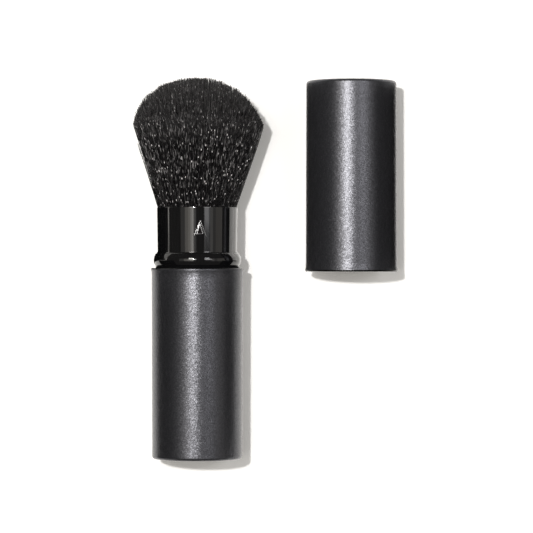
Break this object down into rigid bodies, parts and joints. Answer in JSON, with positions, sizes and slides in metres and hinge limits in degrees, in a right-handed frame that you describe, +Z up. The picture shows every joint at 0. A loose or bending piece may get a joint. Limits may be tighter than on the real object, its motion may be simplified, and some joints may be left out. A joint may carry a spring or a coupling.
{
  "type": "retractable makeup brush",
  "caption": "Pocket makeup brush with a flared tuft, a sliding tube that gathers the bristles, a beaded neck, a straight round handle, and its matching pull-off cap beside it.",
  "frame": {"origin": "on the table, under the middle of the brush and the cap laid beside it", "axes": "+Y along the brush axis from the handle to the bristles, +X from the brush to the cap, +Z up from the table"},
  "size_m": [0.0812, 0.1162, 0.0342],
  "materials": {
    "shell_satin": "satin charcoal with a fine metallic grain",
    "gloss_black": "gloss",
    "moulded_black": "as moulded",
    "steel": "turned",
    "ferrule_metal": "satin",
    "seal_rubber": "matte",
    "fibre": "fine glossy synthetic fibre"
  },
  "bodies": {
    "handle": {"handle_shell": "shell_satin", "base_weight": "steel", "handle_liner": "moulded_black", "neck_ring": "gloss_black", "neck_o_ring": "seal_rubber", "brush_post": "moulded_black", "post_screw": "steel", "ferrule": "ferrule_metal", "bristles": "fibre"},
    "guard": {"guard_tube": "gloss_black", "stop_collar": "moulded_black"},
    "cap": {"cap_shell": "shell_satin", "cap_sleeve": "moulded_black"}
  },
  "joints": [
    {"name": "guard_slide", "type": "slide", "parent": "handle", "child": "guard", "axis": [0, 1, 0], "range_m": [0, 0.039], "deforming": ["bristles"]},
    {"name": "cap_pull", "type": "slide", "parent": "handle", "child": "cap", "axis": [0, 1, 0], "range_m": [0, 0.06]}
  ]
}
